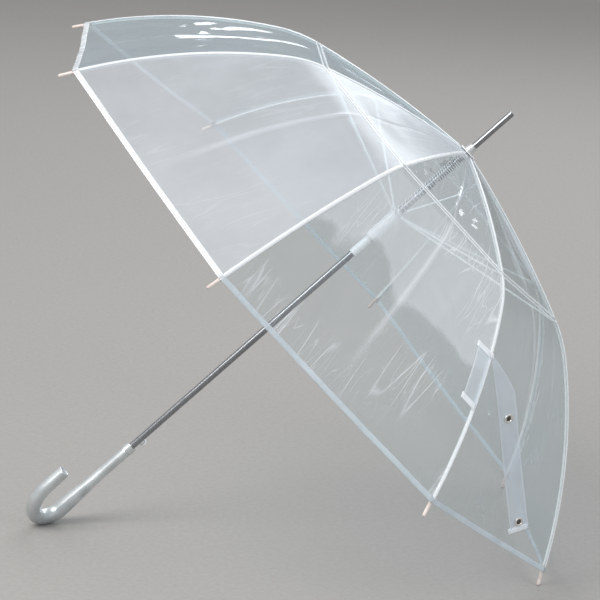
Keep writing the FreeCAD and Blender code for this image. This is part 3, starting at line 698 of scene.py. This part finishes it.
def crook_path():
    """(distance towards the hook, height) of the handle's middle line, and its radius at each."""
    line, radii = [], []
    for z in np.linspace(GRIP_TOP, BEND_START, 40):
        line.append((0.0, -z))
        radii.append(TOP_RADIUS + (BEND_THICK - TOP_RADIUS) * float(smooth(SWELL_START, SWELL_END, z)))
    centre = np.array([BEND_RADIUS, -BEND_START])
    for turn in np.linspace(0, BEND_TURN, 44)[1:]:
        line.append(arc_point(centre, BEND_RADIUS, turn))
        radii.append(BEND_THICK - (BEND_THICK - EASY_THICK) * float(smooth(0.4, 1.0, turn / BEND_TURN)))
    centre = centre + (EASY_RADIUS - BEND_RADIUS) * np.array([math.cos(BEND_TURN), math.sin(BEND_TURN)])
    for turn in np.linspace(BEND_TURN, math.pi, 18)[1:]:
        line.append(arc_point(centre, EASY_RADIUS, turn))
        radii.append(EASY_THICK - (EASY_THICK - HOOK_THICK) * (turn - BEND_TURN) / (math.pi - BEND_TURN))
    foot = line[-1]
    for t in np.linspace(0, 1, 12)[1:]:
        line.append((foot[0], foot[1] + HOOK_LENGTH * t))
        radii.append(HOOK_THICK - (HOOK_THICK - END_THICK) * t)
    return np.array(line), np.array(radii)


# The hook's end, as (distance past the line, share of the radius): a rounded rim and a shallow dish.
HOOK_END = ((0.0006, 0.97), (0.0009, 0.90), (0.0009, 0.78), (0.0004, 0.74), (0.0004, 0.3))


def crook():
    """The moulded handle, closed at both ends."""
    line, radii = crook_path()
    out = np.array([-math.cos(HOOK_WAY), -math.sin(HOOK_WAY), 0])
    up = np.array([0, 0, 1.0])
    across = np.cross(out, up)
    tangent = np.gradient(line, axis=0)
    tangent /= np.linalg.norm(tangent, axis=1)[:, None]
    turns = around(40)

    def ring(middle, t, radius):
        inward = t[1] * out - t[0] * up
        return (middle + (radius * np.cos(turns))[:, None] * inward
                + (radius * np.sin(turns))[:, None] * across)

    # the moulded grip's section is slightly square
    section = 1 - 0.035 * np.cos(4 * turns)
    path = line[:, :1] * out + line[:, 1:] * up
    rings = [ring(p, t, r * section) for p, t, r in zip(path, tangent, radii)]
    onward = tangent[-1][0] * out + tangent[-1][1] * up
    rings += [ring(path[-1] + onward * ahead, tangent[-1], radii[-1] * shrink)
              for ahead, shrink in HOOK_END]
    obj = swept("crook", rings, FINISH["pearl_silver"])
    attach(obj, "shaft")
    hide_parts("crook_handle")


crook()

# ---------------------------------------------------------------- strap

STRAP_RIB = 7
STRAP_BODY = f"rib_outer_{STRAP_RIB}"
STRAP_GORE = STRAP_RIB - 1
STRAP_AT = JOINT_AT + 0.1285
STRAP_ASIDE = 0.0050
STRAP_OFFSET = 0.0110
STRAP_BEARING = math.radians(-66.0)
STRAP_LEAN = math.radians(10.8)
STRAP_WIDTH = 0.0280
STRAP_LENGTH = 0.2570
STRAP_SHARES = np.linspace(0, 1, 86)
FALLEN = STRAP_SHARES * STRAP_LENGTH
STRAP_OPENS = 0.060             # the distance over which it widens from a point
STRAP_POINT = 0.0034            # its width at its top
RIM_WHITE = 0.4
SNAPS_AT = (0.094, 0.246)
SNAP_LIFT = 0.0008


def strap_frame():
    """The strap's top, the directions across it and down it, and the level one off the film."""
    at = place(on_rib(STRAP_RIB, np.array([STRAP_AT]), 0.0, 0.0))[0]
    off = np.array([math.cos(STRAP_BEARING), math.sin(STRAP_BEARING), 0.0])
    rise = np.array([0.0, 0.0, 1.0])
    beside = np.cross(rise, off)
    top = at + beside * STRAP_ASIDE + off * STRAP_OFFSET
    down = beside * math.sin(STRAP_LEAN) - rise * math.cos(STRAP_LEAN)
    across = beside * math.cos(STRAP_LEAN) + rise * math.sin(STRAP_LEAN)
    return top, across, down, off


TOP, ACROSS, DOWN, OFF = strap_frame()


def strap_line():
    """The strap's middle line: nearly straight, and nearer to the film at its top."""
    wave = (0.0007 + 0.0011 * np.sin(STRAP_SHARES * 5.2) * smooth(0.03, 0.09, FALLEN)
            - 0.0050 * (1 - smooth(0, 0.024, FALLEN)))
    return TOP + FALLEN[:, None] * DOWN + wave[:, None] * OFF


STRAP_LINE = strap_line()


def closing_strap():
    """The band starts as a point at its rib and hangs flat below."""
    left = -STRAP_WIDTH / 2 + 0.0005 * (1 - smooth(0.0, 0.03, FALLEN))
    narrow = (1 - np.clip(FALLEN / STRAP_OPENS, 0, 1)) ** 1.15
    right = STRAP_WIDTH / 2 - (STRAP_WIDTH - STRAP_POINT) * narrow
    w = np.linspace(-1, 1, 17)
    spread = (left[:, None] * (1 - w) + right[:, None] * (1 + w)) / 2
    curl = 0.0010 * np.sin(STRAP_SHARES * 7.3 + 0.6) * smooth(0.0, 0.06, FALLEN)
    curl = curl[:, None] * w[None] ** 2
    points = STRAP_LINE[:, None] + spread[..., None] * ACROSS + curl[..., None] * OFF
    band = mesh_object("closing_strap", points, grid_faces(len(FALLEN), len(w)), FILM["strap_vinyl"],
                       local=False)
    rim = np.exp(-((1 - np.abs(w)) / 0.10) ** 2)
    set_fold(band, np.broadcast_to(rim * RIM_WHITE, spread.shape))
    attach(band, "strap")
    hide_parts("strap")


# A snap's rolled ring and the plain rivet behind it, and the dark well and small pin inside the ring.
SNAP_RING = [(-1.6, 1.4), (-1.6, 5.0), (-1.2, 5.8), (0.0, 6.1), (0.9, 6.3), (1.7, 6.1), (2.1, 5.3),
             (2.0, 4.4), (1.3, 3.7), (0.5, 3.4), (0.4, 0.7)]
SNAP_WELL = [(0.42, 0.4), (0.42, 3.35), (0.62, 3.35), (0.66, 1.7), (1.3, 1.3), (1.5, 0.7), (1.55, 0.05)]


def strap_snap(number, distance):
    row = round(distance / STRAP_LENGTH * (len(FALLEN) - 1))
    middle = STRAP_LINE[row] + OFF * SNAP_LIFT
    ring = lathe(f"snap_ring_{number}", middle, OFF, SNAP_RING, FINISH["snap_steel"], sides=40, local=False)
    well = lathe(f"snap_well_{number}", middle, OFF, SNAP_WELL, FINISH["snap_dark"], sides=28, local=False)
    for piece in (ring, well):
        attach(piece, "strap")
    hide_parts("strap_snaps")


def strap_end():
    """The strap's lower end, folded over and welded."""
    turns = around(10)
    section = (np.cos(turns)[:, None] * 0.0042 - 0.002) * DOWN + np.sin(turns)[:, None] * 0.0009 * OFF
    rings = [STRAP_LINE[-1] + ACROSS * (STRAP_WIDTH / 2 * side) + section
             for side in np.linspace(-1.2, 1.0, 12)]
    tab = swept("strap_end_weld", rings, FILM["weld_white"], local=False)
    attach(tab, "strap")


closing_strap()
for number, distance in enumerate(SNAPS_AT, 1):
    strap_snap(number, distance)
strap_end()

PATCH_FROM = STRAP_AT + 0.0055
PATCH_WIDTH, PATCH_LENGTH = 0.0235, 0.088
PATCH_INSET = 0.0006            # from the rib's line
PATCH_LIFT = 0.0009
WELD_INSET = 0.004              # from each end of the patch
WELD_LENGTH = 0.0265
WELD_REACH, WELD_HEIGHT, WELD_LIFT = 0.0044, 0.0006, 0.0013


def strap_base():
    """The patch beside the strap's rib, and the weld across each of its ends."""
    rows = np.linspace(PATCH_FROM, PATCH_FROM + PATCH_LENGTH, 30)
    cols = np.linspace(0, 1, 9)
    along = np.repeat(rows[:, None], len(cols), 1)
    share = 1 - (PATCH_WIDTH * (1 - cols)[None] + PATCH_INSET) / gore_width(rows)[:, None]
    lift = film_relief(STRAP_GORE, along, share)[0] + PATCH_LIFT
    patch = mesh_object("strap_base", on_gore(STRAP_GORE, along, share, lift),
                        grid_faces(len(rows), len(cols)), FILM["patch_vinyl"])
    rim = np.maximum(np.exp(-(cols / 0.08) ** 2), np.exp(-((1 - cols) / 0.08) ** 2))
    set_fold(patch, np.repeat(rim[None], len(rows), 0))
    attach(patch, STRAP_BODY)
    fold_away(patch, STRAP_GORE, "b", "outer")
    turns = around(12)
    for number, centre in ((1, rows[0] + WELD_INSET), (2, rows[-1] - WELD_INSET)):
        s = centre + WELD_REACH * np.cos(turns)
        rings = []
        for inset in np.linspace(0.0, WELD_LENGTH, 12):
            u = 1 - inset / gore_width(s)
            lift = film_relief(STRAP_GORE, s, u)[0] + WELD_LIFT + WELD_HEIGHT * np.sin(turns)
            rings.append(on_gore(STRAP_GORE, s, u, lift))
        weld = swept(f"strap_weld_{number}", rings, FILM["weld_white"])
        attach(weld, STRAP_BODY)
        fold_away(weld, STRAP_GORE, "b", "outer")


def strap_tongue():
    """A gathered tongue that leads from the upper weld over the rib to the strap's top."""
    weld, crest = place(on_rib(STRAP_RIB, np.full(2, PATCH_FROM + WELD_INSET), np.array([-0.0040, 0.0012]),
                               np.array([0.0016, 0.0032])))
    tip = TOP - ACROSS * (STRAP_WIDTH / 2 - 0.0012) + DOWN * 0.004 - OFF * 0.0036
    corners = np.array([weld, crest, crest * 0.5 + tip * 0.5 + OFF * 0.0010, tip])
    turns = around(10)
    rings = []
    for k in np.linspace(0, 3, 13):
        middle = np.array([np.interp(k, range(4), corners[:, axis]) for axis in range(3)])
        tall = DOWN * (0.0046 - 0.0004 * k)
        rings.append(middle + np.cos(turns)[:, None] * tall + np.sin(turns)[:, None] * 0.0006 * OFF)
    tongue = swept("strap_tongue", rings, FILM["weld_white"], local=False)
    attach(tongue, STRAP_BODY)


strap_base()
strap_tongue()

# ---------------------------------------------------------------- finishes on the CAD pieces

CAD_FINISH = {
    "shaft_tube": "bright_steel", "ferrule": "bright_steel", "ferrule_collar": "collar_silver",
    "top_rosette": "white_plastic", "crown": "white_plastic", "crown_ring": "spring_steel",
    "runner_stop": "spring_steel", "handle_collar": "collar_silver", "button_spring": "spring_steel",
    "runner": "white_plastic", "runner_ring": "spring_steel", "push_button": "button_white",
    "catch_lever": "spring_steel",
}
for rib in range(1, RIBS + 1):
    CAD_FINISH[f"rib_inner_{rib}"] = "rib_white"
    CAD_FINISH[f"rib_outer_{rib}"] = "rib_white"
    CAD_FINISH[f"stretcher_{rib}"] = "stretcher_white"
for name, finish in CAD_FINISH.items():
    node = frame["nodes"][name]
    if not node.material_slots:
        node.data.materials.append(FINISH[finish])
    for slot in node.material_slots:
        slot.material = FINISH[finish]

# ---------------------------------------------------------------- floor, light and camera

FLOOR_REACH = 30
FLOOR_AT = -0.0006              # just under the rib caps, so that the floor cuts nothing
floor = mesh_object("floor", [(x * FLOOR_REACH, y * FLOOR_REACH, FLOOR_AT)
                              for x, y in ((-1, -1), (1, -1), (1, 1), (-1, 1))],
                    [(0, 1, 2, 3)], FINISH["floor"], local=False)

SKY = [(0.0, (0.62, 0.66, 0.70)), (0.25, (0.84, 0.88, 0.93)), (0.8, (1.0, 1.0, 1.0))]
SKY_STRENGTH = 0.66
bpy.context.scene.view_settings.view_transform = "Standard"
world = bpy.data.worlds.new("studio")
world.use_nodes = True
bpy.context.scene.world = world
sky_nodes = world.node_tree
direction = sky_nodes.nodes.new("ShaderNodeTexCoord")
split = sky_nodes.nodes.new("ShaderNodeSeparateXYZ")
background = sky_nodes.nodes["Background"]
sky_nodes.links.new(direction.outputs["Generated"], split.inputs[0])
sky_nodes.links.new(ramp(sky_nodes, split.outputs["Z"], SKY), background.inputs["Color"])
background.inputs["Strength"].default_value = SKY_STRENGTH

LIT_POINT = (0, 0, 0.3)


def area_light(name, place_at, size, power, colour):
    data = bpy.data.lights.new(name, "AREA")
    data.shape = "RECTANGLE"
    data.size, data.size_y = size
    data.energy = power
    data.color = colour
    obj = bpy.data.objects.new(name, data)
    bpy.context.scene.collection.objects.link(obj)
    obj.location = place_at
    obj.rotation_mode = "QUATERNION"
    obj.rotation_quaternion = (Vector(LIT_POINT) - Vector(place_at)).to_track_quat("-Z", "Y")
    return obj


area_light("key", (-2.2, -1.6, 3.4), (2.6, 2.6), 135, (1.0, 0.985, 0.96))
fill = area_light("fill", (2.8, -2.4, 2.0), (2.0, 2.0), 52, (0.94, 0.97, 1.0))
fill.visible_glossy = False     # its reflection would whiten the near gores
area_light("back", (1.2, 3.4, 2.8), (3.4, 2.0), 60, (0.95, 0.98, 1.0))

EYE = (-0.1831, -3.3579, 1.2726)
AZIMUTH, ELEVATION, ROLL = math.radians(3.228), math.radians(15.355), math.radians(2.572)
SENSOR_MM = 36
LENS_MM = 145.57
forward = Vector((math.sin(AZIMUTH) * math.cos(ELEVATION), math.cos(AZIMUTH) * math.cos(ELEVATION),
                  -math.sin(ELEVATION)))
level = Vector((math.cos(AZIMUTH), -math.sin(AZIMUTH), 0))
upright = level.cross(forward)
right = level * math.cos(ROLL) + upright * math.sin(ROLL)
above = upright * math.cos(ROLL) - level * math.sin(ROLL)
camera_data = bpy.data.cameras.new("camera")
camera_data.sensor_width = SENSOR_MM
camera_data.lens = LENS_MM
camera = bpy.data.objects.new("camera", camera_data)
bpy.context.scene.collection.objects.link(camera)
camera.matrix_world = Matrix.Translation(EYE) @ Matrix((right, above, -forward)).transposed().to_4x4()
bpy.context.scene.camera = camera
